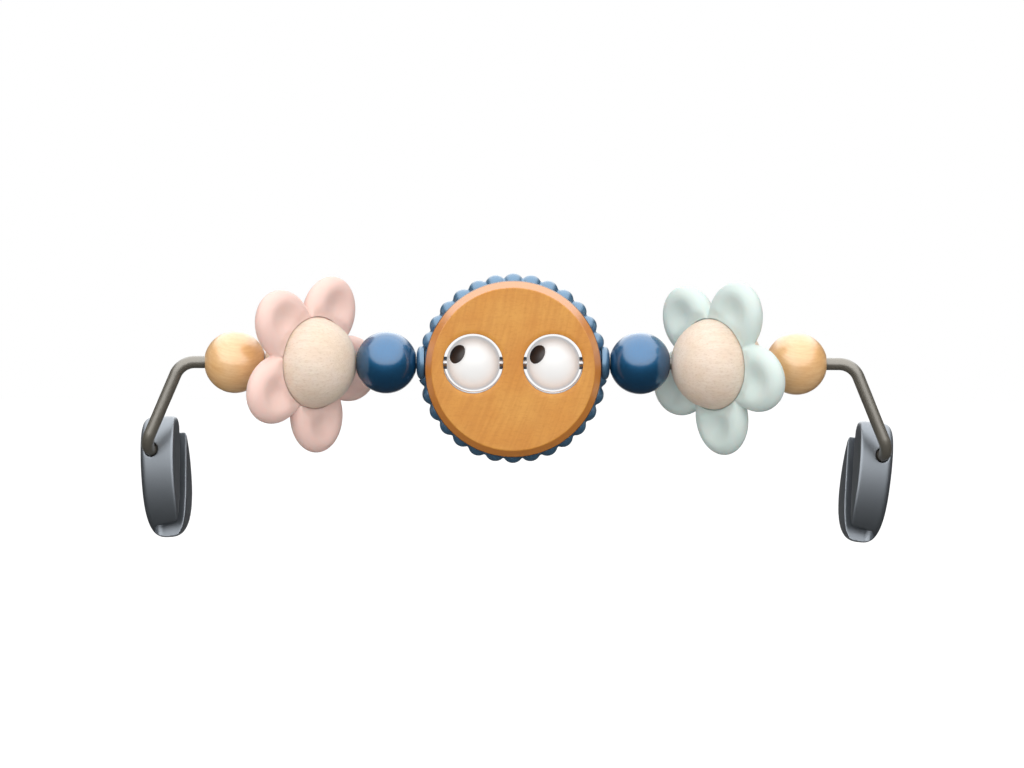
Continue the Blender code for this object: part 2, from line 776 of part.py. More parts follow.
def build():
    for old in list(bpy.data.objects):
        bpy.data.objects.remove(old)
    seat_middle = (seat_point(-1) + seat_point(1)) / 2
    root = empty("toy_bar", Matrix.Translation(-seat_middle))
    left_end, left_flower, left_bead, middle, right_bead, right_flower, right_end = string_places()
    add("carrier_wire", swept("carrier_wire", wire_route(), wire_sides), "wire", parent=root)

    left_clip = clip_mesh()
    ring_profile = [
        (0, bore_radius), (0, retainer_diameter / 2), (retainer_thickness, retainer_diameter / 2),
        (retainer_thickness, bore_radius),
    ]
    for label, side, bead_x in (("left", -1, left_end), ("right", 1, right_end)):
        mesh = left_clip if side < 0 else mirrored(left_clip)
        add(label + "_clip", mesh, "clip", clip_place(side), root)
        ahead = foot_axis(side).to_track_quat("X", "Z").to_matrix().to_4x4()
        seat = clip_wall_at_pivot() - retainer_recess_depth + running_gap
        at = Matrix.Translation(pivot_point(side) + foot_axis(side) * seat) @ ahead
        add(label + "_retainer", turned("retainer", ring_profile, pivot_sides), "retainer", at, root)

        facing = turn(0 if side > 0 else 180, "Z")
        stop_bead = turned("end_bead", bead_profile(bead_recess_depth), bead_sides, facing)
        add(label + "_end_bead", stop_bead, "birch", place(bead_x), root)

    for label, x in (("left", left_bead), ("right", right_bead)):
        ball = turned("blue_bead", bead_profile(0), bead_sides)
        add(label + "_blue_bead", ball, "blue_gloss", place(x), root)
    flower("left_flower", -1, left_flower, "pink", root)
    flower("right_flower", 1, right_flower, "mint", root)
    wheel(middle, root)
    eye("left", middle - eye_spacing / 2, root)
    eye("right", middle + eye_spacing / 2, root)
    bpy.context.view_layer.update()


build()
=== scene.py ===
import json
import math

import bmesh
import bpy
from mathutils import Matrix, Vector


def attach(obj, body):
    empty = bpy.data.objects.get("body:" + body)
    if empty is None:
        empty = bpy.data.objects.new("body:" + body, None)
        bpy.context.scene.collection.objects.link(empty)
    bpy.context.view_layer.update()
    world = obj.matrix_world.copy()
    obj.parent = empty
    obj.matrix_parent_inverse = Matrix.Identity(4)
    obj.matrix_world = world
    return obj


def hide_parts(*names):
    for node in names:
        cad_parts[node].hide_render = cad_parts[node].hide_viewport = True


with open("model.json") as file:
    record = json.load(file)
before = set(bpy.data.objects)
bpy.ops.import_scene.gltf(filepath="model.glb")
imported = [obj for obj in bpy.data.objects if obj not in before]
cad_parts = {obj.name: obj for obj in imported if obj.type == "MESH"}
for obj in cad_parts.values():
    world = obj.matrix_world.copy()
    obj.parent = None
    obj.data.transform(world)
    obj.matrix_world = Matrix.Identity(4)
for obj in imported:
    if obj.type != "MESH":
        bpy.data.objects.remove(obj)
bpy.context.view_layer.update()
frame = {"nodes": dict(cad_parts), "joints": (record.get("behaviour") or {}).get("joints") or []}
mm = 0.001
nodes = frame["nodes"]
joints = {joint["name"]: joint for joint in frame["joints"]}
sides = {"left": -1, "right": 1}
print("frame loaded")


def spinPoint(body):
    return Vector(joints[body + "_spin"]["pos_m"])


def pivotPoint(label):
    return Vector(joints[label + "_clip_swivel"]["pos_m"])


def footAxis(label):
    return Vector(joints[label + "_clip_swivel"]["axis"])


barMiddle = spinPoint("wheel").copy()
barMiddle.x = (pivotPoint("left").x + pivotPoint("right").x) / 2
lengthways = Matrix.Rotation(math.radians(90), 4, "Z")  # turns a shape made along X onto Y


# Hand tools

def clearSelection():
    bpy.ops.object.select_all(action="DESELECT")


def holdOnly(piece):
    clearSelection()
    piece.select_set(True)
    bpy.context.view_layer.objects.active = piece


def openMesh(piece, mode="VERT"):
    holdOnly(piece)
    bpy.ops.object.mode_set(mode="EDIT")
    bpy.ops.mesh.select_mode(type=mode)
    bpy.ops.mesh.select_all(action="DESELECT")


def closeMesh():
    bpy.ops.object.mode_set(mode="OBJECT")


def pickVerts(piece, test):
    bpy.ops.mesh.select_all(action="DESELECT")
    mesh = bmesh.from_edit_mesh(piece.data)
    for vert in mesh.verts:
        vert.select_set(test(vert.co))
    mesh.select_flush(True)
    bmesh.update_edit_mesh(piece.data)


def pickFaces(piece, test):
    bpy.ops.mesh.select_all(action="DESELECT")
    mesh = bmesh.from_edit_mesh(piece.data)
    for face in mesh.faces:
        if test(face.calc_center_median(), face.normal):
            face.select_set(True)
    bmesh.update_edit_mesh(piece.data)


def pickEdges(piece, test):
    bpy.ops.mesh.select_all(action="DESELECT")
    mesh = bmesh.from_edit_mesh(piece.data)
    for edge in mesh.edges:
        if test(edge.verts[0].co, edge.verts[1].co):
            edge.select_set(True)
    bmesh.update_edit_mesh(piece.data)


def applyModifier(piece, kind, **settings):
    holdOnly(piece)
    bpy.ops.object.modifier_add(type=kind)
    added = piece.modifiers[-1]
    for key, value in settings.items():
        setattr(added, key, value)
    bpy.ops.object.modifier_apply(modifier=added.name)


def roundEdges(piece, width, segments, angle):
    limit = math.radians(angle)
    applyModifier(piece, "BEVEL", width=width, segments=segments, limit_method="ANGLE", angle_limit=limit)


def meltTogether(piece, voxel, smoothing):
    # one closed skin over all parts, smoothed a little
    applyModifier(piece, "REMESH", mode="VOXEL", voxel_size=voxel)
    applyModifier(piece, "SMOOTH", factor=0.5, iterations=smoothing)


def cutWith(piece, tools):
    for tool in tools:
        applyModifier(piece, "BOOLEAN", operation="DIFFERENCE", solver="EXACT", object=tool)


def throwAway(tools):
    for tool in tools:
        bpy.data.objects.remove(tool)


def turnOn(axis, degrees):
    return Matrix.Rotation(math.radians(degrees), 4, axis)


def settle(piece, at=Matrix()):
    # puts the piece in its place and keeps the place in its mesh
    holdOnly(piece)
    piece.matrix_world = at @ piece.matrix_world
    bpy.ops.object.transform_apply(location=True, rotation=True, scale=True)


def outwards(piece):
    openMesh(piece)
    bpy.ops.mesh.select_all(action="SELECT")
    bpy.ops.mesh.remove_doubles(threshold=0.001 * mm)
    bpy.ops.mesh.normals_make_consistent(inside=False)
    closeMesh()


def smooth(piece, angle=35):
    holdOnly(piece)
    bpy.ops.object.shade_smooth_by_angle(angle=math.radians(angle))


def copyOf(piece, name):
    holdOnly(piece)
    bpy.ops.object.duplicate(linked=False)
    made = bpy.context.object
    made.name = name
    return made


def joinAll(pieces):
    holdOnly(pieces[0])
    for piece in pieces:
        piece.select_set(True)
    bpy.ops.object.join()
    return pieces[0]


def rounding(radius, first, last, steps, centre=(0.0, 0.0)):
    # points (along, out) of an arc, with its angles measured from the axis outwards
    turns = [math.radians(first + (last - first) * step / steps) for step in range(steps + 1)]
    return [(centre[0] + radius * math.cos(turn), centre[1] + radius * math.sin(turn)) for turn in turns]


def rod(radius, length, sides, centre=(0, 0, 0), turn=0.0):
    # lies along X before it is turned on Z
    laid = (0, math.pi / 2, turn)
    clearSelection()
    bpy.ops.mesh.primitive_cylinder_add(
        vertices=sides, radius=radius, depth=length, rotation=laid, location=centre
    )
    return bpy.context.object


def plate(radius, thickness, sides, y=0.0):
    # a round plate that faces the front
    laid = (math.pi / 2, 0, 0)
    clearSelection()
    bpy.ops.mesh.primitive_cylinder_add(
        vertices=sides, radius=radius, depth=thickness, rotation=laid, location=(0, y, 0)
    )
    return bpy.context.object


def lathe(name, outline, steps):
    # draws an outline of (along, out) points from one vertex and spins it round X
    closed = outline[0][1] > 0
    clearSelection()
    bpy.ops.mesh.primitive_plane_add(size=mm)
    piece = bpy.context.object
    piece.name = name
    openMesh(piece)
    bpy.ops.mesh.select_all(action="SELECT")
    bpy.ops.mesh.merge(type="CENTER")
    bpy.ops.transform.translate(value=(outline[0][0], 0, outline[0][1]))
    points = outline[1:] + (outline[:1] if closed else [])
    before = outline[0]
    for along, out in points:
        step = (along - before[0], 0, out - before[1])
        bpy.ops.mesh.extrude_vertices_move(TRANSFORM_OT_translate={"value": step})
        before = (along, out)
    bpy.ops.mesh.select_all(action="SELECT")
    bpy.ops.mesh.spin(steps=steps, angle=math.tau, center=(0, 0, 0), axis=(1, 0, 0), use_auto_merge=True)
    closeMesh()
    outwards(piece)
    return piece


def extrudeBy(way):
    bpy.ops.mesh.extrude_region_move(TRANSFORM_OT_translate={"value": way})


def shaded(colour, share):
    return tuple(part * share for part in colour)


# Shader writing

class Signal:
    # one output of a node; sums on it add Math nodes
    def __init__(self, board, socket):
        self.board = board
        self.socket = socket

    def maths(self, operation, first, second):
        return self.board.node("ShaderNodeMath", {"operation": operation}, {0: first, 1: second})

    def __add__(self, other):
        return self.maths("ADD", self, other)

    def __radd__(self, other):
        return self.maths("ADD", other, self)

    def __sub__(self, other):
        return self.maths("SUBTRACT", self, other)

    def __rsub__(self, other):
        return self.maths("SUBTRACT", other, self)

    def __mul__(self, other):
        return self.maths("MULTIPLY", self, other)

    def __rmul__(self, other):
        return self.maths("MULTIPLY", other, self)

    def __abs__(self):
        return self.board.node("ShaderNodeMath", {"operation": "ABSOLUTE"}, {0: self})

    def above(self, level, softness):
        # 0 below the level and 1 over it, with a soft step
        sockets = {"Value": self, "From Min": level - softness, "From Max": level + softness}
        return self.board.node("ShaderNodeMapRange", {"interpolation_type": "SMOOTHSTEP"}, sockets)


class Board:
    # the node tree of a material or of the world
    def __init__(self, tree):
        self.tree = tree

    def node(self, kind, settings=None, sockets=None, out=0):
        made = self.tree.nodes.new(kind)
        for key, value in (settings or {}).items():
            setattr(made, key, value)
        for key, value in (sockets or {}).items():
            self.join(value, made.inputs[key])
        return Signal(self, made.outputs[out])

    def join(self, value, socket):
        if isinstance(value, Signal):
            self.tree.links.new(value.socket, socket)
        else:
            socket.default_value = value

    def split(self, vector, axis):
        return self.node("ShaderNodeSeparateXYZ", {}, {"Vector": vector}, axis)

    def rayIs(self, kind):
        return self.node("ShaderNodeLightPath", out="Is " + kind + " Ray")


class Paint(Board):
    # a material on one shader; its fixed values go straight onto the shader
    def __init__(self, name, **fixed):
        self.made = bpy.data.materials.new(name)
        self.made.use_nodes = True
        super().__init__(self.made.node_tree)
        self.shader = self.tree.nodes["Principled BSDF"]
        for key, value in fixed.items():
            self.shader.inputs[key.replace("_", " ")].default_value = value
        self.place = self.node("ShaderNodeTexCoord", out="Object")

    def feed(self, name, value):
        self.join(value, self.shader.inputs[name])

    def mapped(self, centre=(0, 0, 0), turned=(0, 0, 0), stretch=(1, 1, 1)):
        # object coordinates measured from a centre, then turned and stretched
        moved = self.node("ShaderNodeVectorMath", {"operation": "SUBTRACT"}, {0: self.place, 1: centre})
        angles = tuple(math.radians(angle) for angle in turned)
        return self.node("ShaderNodeMapping", {}, {"Vector": moved, "Rotation": angles, "Scale": stretch})

    def noise(self, vector, scale, detail=2, roughness=0.5):
        sockets = {"Vector": vector, "Scale": scale, "Detail": detail, "Roughness": roughness}
        return self.node("ShaderNodeTexNoise", {}, sockets)

    def gather(self, x, y, z):
        return self.node("ShaderNodeCombineXYZ", {}, {"X": x, "Y": y, "Z": z})

    def length(self, vector):
        return self.node("ShaderNodeVectorMath", {"operation": "LENGTH"}, {0: vector}, "Value")

    def mix(self, factor, first, second):
        # colours are mixed through the node's colour sockets
        first = first if isinstance(first, Signal) else (*first, 1)
        second = second if isinstance(second, Signal) else (*second, 1)
        return self.node("ShaderNodeMix", {"data_type": "RGBA"}, {0: factor, 6: first, 7: second}, 2)

    def bump(self, height, strength, distance):
        sockets = {"Height": height, "Strength": strength, "Distance": distance}
        self.feed("Normal", self.node("ShaderNodeBump", {}, sockets))


def dress(piece, paint):
    piece.data.materials.clear()
    piece.data.materials.append(paint.made)


woodFigure = {
    "lineDraw": 0.3, "hatchDraw": 0.12, "poreDraw": 0.4,  # how far each is drawn out along the grain
    "hatchScale": 0.8,
    "cloudStep": (0.5, 0.25), "lineStep": (0.5, 0.2), "hatchStep": (0.55, 0.15), "poreStep": (0.6, 0.12),
    "rimBlend": 0.25 * mm, "rimShadowBlend": 0.1 * mm,
    "lineRoughness": 0.1, "poreHeight": 0.5, "relief": 0.25, "depth": 0.05 * mm,
}
eggshell = {"driftScale": 60, "roughness": 0.08, "depth": 0.03 * mm}


def birchPaint(name, centre, sizes):
    # turned wood: growth lines at their distances from a pith along Y, with pores and soft clouds
    paint = Paint(name, **sizes["fixed"])
    figure = woodFigure
    local = paint.mapped(centre)
    x, y, z = (paint.split(local, axis) for axis in range(3))
    beside, above = sizes["pith"]
    growth = paint.length(paint.gather(x - beside, 0, z - above))
    rings = paint.gather(growth, y * figure["lineDraw"], (x - z) * sizes["waver"])
    lines = paint.noise(rings, sizes["lines"], detail=4, roughness=0.6)
    across = paint.gather(x * figure["hatchDraw"], y, z)
    hatch = paint.noise(across, sizes["lines"] * figure["hatchScale"], detail=3, roughness=0.6)
    pores = paint.noise(paint.gather(x * figure["poreDraw"], y, z), sizes["pores"])
    clouds = paint.noise(local, sizes["clouds"], roughness=0.4)
    wood = paint.mix(clouds.above(*figure["cloudStep"]), sizes["light"], sizes["warm"])
    wood = paint.mix(lines.above(*figure["lineStep"]) * sizes["grain"], wood, sizes["dark"])
    wood = paint.mix(hatch.above(*figure["hatchStep"]) * sizes["hatch"], wood, sizes["dark"])
    wood = paint.mix(pores.above(*figure["poreStep"]) * sizes["fleck"], wood, sizes["dark"])
    lacquer = sizes["lacquer"]
    # on a disc the chamfer turns darker and redder, partly its end grain and partly painted shade that gives
    # the whole chamfer the red-brown of a shaded one, and it takes a full coat
    if "rimGrainAndShade" in sizes:
        reach = paint.length(paint.gather(x, 0, z))
        rim = reach.above(sizes["rimReach"], figure["rimBlend"])
        # a thin band at the very rim is painted near-black: a painted shadow line standing for the shade
        # between the disc's rim and the knob ring behind it
        edge = reach.above(sizes["rimShadowReach"], figure["rimShadowBlend"])
        wood = paint.mix(edge, paint.mix(rim, wood, sizes["rimGrainAndShade"]), sizes["paintedRimShadow"])
        lacquer = lacquer + rim * (1 - lacquer)
    paint.feed("Base Color", wood)
    paint.feed("Roughness", sizes["roughness"] + lines * figure["lineRoughness"])
    paint.feed("Coat Weight", lacquer)
    paint.bump(lines + pores * figure["poreHeight"], figure["relief"], figure["depth"])
    return paint


def mouldedPaint(name, sizes):
    # moulded plastic: one colour with a faint drift and a fine eggshell skin
    paint = Paint(name, Metallic=sizes.get("metal", 0.0), **sizes["fixed"])
    drift = paint.noise(paint.mapped(), eggshell["driftScale"])
    paint.feed("Base Color", paint.mix(drift, sizes["colour"], sizes["drift"]))
    skin = paint.noise(paint.mapped(), sizes["skin"], detail=3, roughness=0.6)
    paint.feed("Roughness", sizes["roughness"] + skin * eggshell["roughness"])
    paint.bump(skin, sizes["skinStrength"], eggshell["depth"])
    return paint


# Wire

wireSizes = {
    "diameter": 7 * mm,
    "cornerReach": 189.9 * mm,
    "footReach": 210.6 * mm,
    "armDrop": {"left": 48.3 * mm, "right": 50.4 * mm},
    "cornerRadius": 12 * mm,
    "footRadius": 9 * mm,
    "footDepth": 8.95 * mm,
    "collarReach": {"left": 175.8 * mm, "right": 174.3 * mm},
    "collarLength": 1.6 * mm,
    "collarSwell": 1.2,
    "collarSlope": 0.2 * mm,
    "sides": 40,
    "bendSteps": 18,
    "edge": 0.6 * mm,
}
wireLook = {
    "colour": (0.160, 0.146, 0.118), "speckShade": 0.75, "speckShare": 0.25, "specks": 900,
    "steel": (0.62, 0.62, 0.63), "drawnShade": 0.7, "drawn": 3000, "drawnStretch": (0.02, 1, 1),
    "steelReach": 44 * mm, "blend": 0.3 * mm, "paintMatt": 0.5,
    "roughness": 0.24, "paintRoughness": 0.16, "speckRoughness": 0.08, "relief": 0.2, "depth": 0.03 * mm,
    "fixed": {"Specular_IOR_Level": 0.5, "Coat_IOR": 1.7, "Coat_Roughness": 0.3},
}


def wireBend(at, before, corner, after, radius):
    # runs straight to the bend, sweeps through it and tells where it ends
    into = (corner - before).normalized()
    out = (after - corner).normalized()
    half = into.angle(out) / 2
    start = corner - into * radius * math.tan(half)
    extrudeBy(start - at)
    centre = corner + (out - into).normalized() * radius / math.cos(half)
    axis = into.cross(out).normalized()
    bpy.ops.mesh.spin(steps=wireSizes["bendSteps"], angle=-2 * half, center=centre, axis=axis)
    return corner + out * radius * math.tan(half)


def makeWire():
    ends, feet, corners = {}, {}, {}
    for label, side in sides.items():
        corners[label] = barMiddle + Vector((side * wireSizes["cornerReach"], 0, 0))
        drop = wireSizes["armDrop"][label]
        feet[label] = barMiddle + Vector((side * wireSizes["footReach"], 0, -drop))
        ends[label] = pivotPoint(label) + footAxis(label) * wireSizes["footDepth"]
    clearSelection()
    facing = footAxis("left").to_track_quat("Z", "Y").to_euler()
    bpy.ops.mesh.primitive_circle_add(
        vertices=wireSizes["sides"], radius=wireSizes["diameter"] / 2, fill_type="NGON",
        location=ends["left"], rotation=facing
    )
    piece = bpy.context.object
    piece.name = "bentWire"
    settle(piece)
    openMesh(piece, "FACE")
    bpy.ops.mesh.select_all(action="SELECT")
    at = wireBend(ends["left"], ends["left"], feet["left"], corners["left"], wireSizes["footRadius"])
    at = wireBend(at, feet["left"], corners["left"], barMiddle, wireSizes["cornerRadius"])
    half, slope, swell = wireSizes["collarLength"] / 2, wireSizes["collarSlope"], wireSizes["collarSwell"]
    for label, side in sides.items():  # each end bead bears on a pressed collar
        middle = barMiddle.x + side * (wireSizes["collarReach"][label] - half)
        for x, size in ((middle - half, swell), (middle + half, 1 / swell)):
            extrudeBy((x - at.x, 0, 0))
            extrudeBy((slope, 0, 0))
            bpy.ops.transform.resize(value=(1, size, size))
            at = Vector((x + slope, at.y, at.z))
    at = wireBend(at, barMiddle, corners["right"], feet["right"], wireSizes["cornerRadius"])
    at = wireBend(at, corners["right"], feet["right"], ends["right"], wireSizes["footRadius"])
    extrudeBy(ends["right"] - at)
    closeMesh()
    outwards(piece)
    roundEdges(piece, wireSizes["edge"], 2, 60)
    smooth(piece)
    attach(piece, "wire")
    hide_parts("carrier_wire")
    return piece


def wirePaint():
    # taupe paint on the arms, bare steel where the bar runs through the wheel
    look = wireLook
    paint = Paint("wirePaint", **look["fixed"])
    painted = abs(paint.split(paint.mapped(barMiddle), 0)).above(look["steelReach"], look["blend"])
    specks = paint.noise(paint.mapped(), look["specks"])
    coat = paint.mix(specks * look["speckShare"], look["colour"], shaded(look["colour"], look["speckShade"]))
    drawn = paint.noise(paint.mapped(stretch=look["drawnStretch"]), look["drawn"])
    steel = paint.mix(drawn, look["steel"], shaded(look["steel"], look["drawnShade"]))
    paint.feed("Base Color", paint.mix(painted, steel, coat))
    paint.feed("Metallic", 1 - painted * look["paintMatt"])
    paint.feed("Coat Weight", painted)
    roughness = look["roughness"] + painted * look["paintRoughness"]
    paint.feed("Roughness", roughness + specks * look["speckRoughness"])
    paint.bump(specks, look["relief"], look["depth"])
    return paint


dress(makeWire(), wirePaint())
print("wire bent")


# Beads

beadSizes = {
    "radius": 17.5 * mm,
    "mouth": 4.75 * mm,
    "bore": 3.8 * mm,
    "countersink": 0.8 * mm,
    "recess": 2.2 * mm,
    "steps": 96,
    "arcSteps": 48,
    "edge": 0.3 * mm,
}
endBeadPaint = {
    "light": (0.83, 0.54, 0.27), "warm": (0.79, 0.45, 0.17), "dark": (0.56, 0.24, 0.06), "roughness": 0.36,
    "lines": 620, "pores": 1100, "clouds": 55, "grain": 0.34, "hatch": 0.10, "fleck": 0.15, "waver": 0.05,
    "pith": (4 * mm, 26 * mm), "lacquer": 1.0,
    "fixed": {"Specular_IOR_Level": 0.5, "Coat_Roughness": 0.3, "Coat_IOR": 1.8},
}
blueBeadPaint = {
    "colour": (0.003, 0.096, 0.228), "deep": (0.003, 0.082, 0.200),
    "ripple": 420, "rippleTurn": (20, 0, 0), "rippleStretch": (0.25, 1, 1), "rippleHeight": 0.35,
    "swell": 130, "wear": 0.1, "relief": 0.35, "depth": 0.09 * mm,
    "fixed": {"Metallic": 0.75, "Roughness": 0.46, "Coat_Roughness": 0.16, "Coat_IOR": 1.72},
}


def makeBead(name, recess):
    radius, mouth, bore = beadSizes["radius"], beadSizes["mouth"], beadSizes["bore"]
    face = math.sqrt(radius**2 - mouth**2)
    rim = math.degrees(math.asin(mouth / radius))
    outline = rounding(radius, rim, 180 - rim, beadSizes["arcSteps"])
    outline.append((beadSizes["countersink"] - face, bore))
    if recess:
        outline += [(face - beadSizes["recess"], bore), (face - beadSizes["recess"], mouth)]
    else:
        outline.append((face - beadSizes["countersink"], bore))
    piece = lathe(name, outline, beadSizes["steps"])
    roundEdges(piece, beadSizes["edge"], 3, 25)
    smooth(piece)
    return piece


def glossPaint(name, centre):
    # brushed gloss paint: the wood's grain just shows through as a fine ripple
    look = blueBeadPaint
    paint = Paint(name, **look["fixed"])
    grain = paint.mapped(centre, look["rippleTurn"], look["rippleStretch"])
    ripple = paint.noise(grain, look["ripple"], detail=4, roughness=0.6)
    swell = paint.noise(paint.mapped(centre), look["swell"])
    paint.feed("Base Color", paint.mix(swell, look["colour"], look["deep"]))
    paint.feed("Coat Weight", 1 - ripple * look["wear"])
    paint.bump(ripple * look["rippleHeight"] + swell, look["relief"], look["depth"])
    return paint


for label, side in sides.items():
    facing = Matrix.Rotation(math.pi if side < 0 else 0, 4, "Z")
    for kind, recess, slot in (("_end_bead", True, "birch"), ("_blue_bead", False, "blue_gloss")):
        body = label + kind
        bead = makeBead(label + ("WoodenBead" if recess else "BlueBead"), recess)
        centre = spinPoint(body)
        settle(bead, Matrix.Translation(centre) @ facing)
        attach(bead, body)
        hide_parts(body)
        name = bead.name + "Paint"
        dress(bead, birchPaint(name, centre, endBeadPaint) if recess else glossPaint(name, centre))
print("beads turned")


# Flowers

flowerSizes = {
    "turn": 47,
    "lean": {"left": 1.8, "right": 5.4},
    "domeRadius": 26 * mm,
    "domeFlat": 3.8 * mm,
    "bore": 3.8 * mm,
    "boreLength": 120 * mm,
    "domeEdge": 0.4 * mm,
    "domeSteps": 96,
    "seatRadius": 26.3 * mm,
    "seatHalf": 3.5 * mm,
    "seatTool": 20 * mm,
    "petals": 5,
    "petalSides": 56,
    "petalRings": (
        0.995, 0.98, 0.955, 0.92, 0.88, 0.83, 0.77, 0.70, 0.63, 0.56, 0.49, 0.42, 0.35, 0.28, 0.21, 0.14, 0.07
    ),
    "firstPetal": 62.4,
    "petalCentre": 30.5 * mm,
    "petalHalfLength": 21.5 * mm,
    "petalHalfWidth": 18.8 * mm,
    "crest": 6.2 * mm,
    "edgeShare": 0.42,
    "collar": 27.2 * mm,
    "collarHalf": 4.6 * mm,
    "collarReach": 5.5 * mm,
    "dishCentre": 35.5 * mm,
    "dishDepth": 3.1 * mm,
    "dishReach": 12.5 * mm,
    "voxel": 0.55 * mm,
    "smoothing": 6,
}
petalPaints = {
    "left": {"colour": (0.800, 0.570, 0.505), "drift": (0.785, 0.553, 0.488), "slot": "pink"},
    "right": {"colour": (0.600, 0.685, 0.650), "drift": (0.585, 0.673, 0.637), "slot": "mint"},
}
petalSkin = {
    "skin": 1500, "skinStrength": 0.12, "roughness": 0.55,
    "fixed": {
        "Specular_IOR_Level": 0.5, "Coat_Weight": 0.35, "Coat_IOR": 1.5, "Coat_Roughness": 0.5,
        "Subsurface_Weight": 0.5, "Subsurface_Radius": (3 * mm, 1.6 * mm, 1.3 * mm), "Subsurface_Scale": 1.0,
    },
}
domePaint = {
    "light": (0.77, 0.655, 0.550), "warm": (0.73, 0.590, 0.465), "dark": (0.50, 0.34, 0.22), "roughness": 0.6,
    "lines": 600, "pores": 1300, "clouds": 60, "grain": 0.16, "hatch": 0.12, "fleck": 0.32, "waver": 0.08,
    "pith": (6 * mm, 70 * mm), "lacquer": 0.3,
    "fixed": {
        "Specular_IOR_Level": 0.5, "Coat_IOR": 1.5, "Coat_Roughness": 0.5,
        "Subsurface_Weight": 0.3, "Subsurface_Radius": (3 * mm, 1.5 * mm, 0.8 * mm), "Subsurface_Scale": 1.0,
    },
}


def makePetal():
    # front half of one petal, drawn in rings from its outline inwards, with the flower's centre at X 0
    clearSelection()
    bpy.ops.mesh.primitive_circle_add(
        vertices=flowerSizes["petalSides"], radius=1, fill_type="NGON", rotation=(math.pi / 2, 0, 0)
    )
    piece = bpy.context.object
    piece.name = "petal"
    piece.scale = (flowerSizes["petalHalfLength"], flowerSizes["petalHalfWidth"], 1)
    settle(piece, Matrix.Translation((flowerSizes["petalCentre"], 0, 0)))
    openMesh(piece, "FACE")
    bpy.ops.mesh.select_all(action="SELECT")
    edge = flowerSizes["edgeShare"]
    before, height = 1.0, 0.0
    for share in flowerSizes["petalRings"]:
        past = max(0, (share - 1 + edge) / edge)
        level = flowerSizes["crest"] * math.sqrt(1 - past**2)
        extrudeBy((0, height - level, 0))
        size = share / before
        middle = (flowerSizes["petalCentre"], -level, 0)
        bpy.ops.transform.resize(value=(size, 1, size), center_override=middle)
        before, height = share, level
    dish = Vector((flowerSizes["dishCentre"], 0, 0))
    spots = [vert.co.copy() for vert in bmesh.from_edit_mesh(piece.data).verts if vert.co.y < -mm]
    nearest = min(spots, key=lambda co: math.hypot(co.x - dish.x, co.z))
    pickVerts(piece, lambda co: (co - nearest).length < 0.01 * mm)
    bpy.ops.transform.translate(
        value=(0, flowerSizes["dishDepth"], 0), use_proportional_edit=True,
        proportional_edit_falloff="SMOOTH", proportional_size=flowerSizes["dishReach"]
    )
    # the petal comes down to one level all round the half ball, and its lower parts are hidden meanwhile
    level = flowerSizes["collarHalf"]
    pickVerts(piece, lambda co: co.y > -level)
    bpy.ops.mesh.hide(unselected=False)
    pickVerts(piece, lambda co: math.hypot(co.x, co.z) < flowerSizes["collar"] and co.y < -level)
    bpy.ops.transform.resize(
        value=(1, 0, 1), center_override=(0, -level, 0), use_proportional_edit=True,
        proportional_edit_falloff="SMOOTH", proportional_size=flowerSizes["collarReach"]
    )
    bpy.ops.mesh.reveal(select=False)
    pickFaces(piece, lambda centre, normal: abs(centre.y) < 0.001 * mm and abs(normal.y) > 0.9)
    bpy.ops.mesh.delete(type="ONLY_FACE")
    closeMesh()
    applyModifier(piece, "MIRROR", use_axis=(False, True, False), merge_threshold=0.01 * mm)
    outwards(piece)
    return piece


def makePetalRing(label):
    petal = makePetal()
    parts = [petal] + [copyOf(petal, "petal") for number in range(1, flowerSizes["petals"])]
    for number, part in enumerate(parts):
        angle = math.radians(flowerSizes["firstPetal"]) + math.tau * number / flowerSizes["petals"]
        settle(part, Matrix.Rotation(-angle, 4, "Y"))
    radius, half, length = flowerSizes["seatRadius"], flowerSizes["seatHalf"], flowerSizes["seatTool"]
    parts.append(plate(radius, 2 * half, flowerSizes["domeSteps"]))
    ring = joinAll(parts)
    ring.name = label + "PetalRing"
    settle(ring)
    meltTogether(ring, flowerSizes["voxel"], flowerSizes["smoothing"])
    seats = [plate(radius, length, flowerSizes["domeSteps"], side * (half + length / 2)) for side in (-1, 1)]
    cutWith(ring, seats)
    throwAway(seats)
    return ring


def makeDome(name):
    radius, flat = flowerSizes["domeRadius"], flowerSizes["domeFlat"]
    rim = math.degrees(math.acos(flat / radius))
    outline = [(radius, 0)] + rounding(radius, 0, rim, 32)[1:] + [(flat, 0)]
    piece = lathe(name, outline, flowerSizes["domeSteps"])
    roundEdges(piece, flowerSizes["domeEdge"], 4, 40)
    return piece


for label, side in sides.items():
    body = label + "_flower"
    centre = spinPoint(body)
    turn = -side * math.radians(flowerSizes["turn"])
    lean = turnOn("X", flowerSizes["lean"][label])
    at = Matrix.Translation(centre) @ lean @ Matrix.Rotation(turn, 4, "Z")
    pieces = {
        "_front_dome": makeDome(label + "FrontDome"),
        "_back_dome": makeDome(label + "BackDome"),
        "_petals": makePetalRing(label),
    }
    settle(pieces["_front_dome"], turnOn("Z", -90))
    settle(pieces["_back_dome"], turnOn("Z", 90))
    bore = rod(flowerSizes["bore"], flowerSizes["boreLength"], 48, turn=-turn)
    for kind, piece in pieces.items():
        cutWith(piece, [bore])
        smooth(piece)
        settle(piece, at)
        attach(piece, body)
        if kind == "_petals":
            look = petalPaints[label]
            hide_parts(label + "_petals")
            dress(piece, mouldedPaint(label + "PetalPaint", {**petalSkin, **look}))
        else:
            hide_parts(body + kind)
            dress(piece, birchPaint(piece.name + "Paint", centre, domePaint))
    throwAway([bore])
    print(label, "flower made")


# Wheel

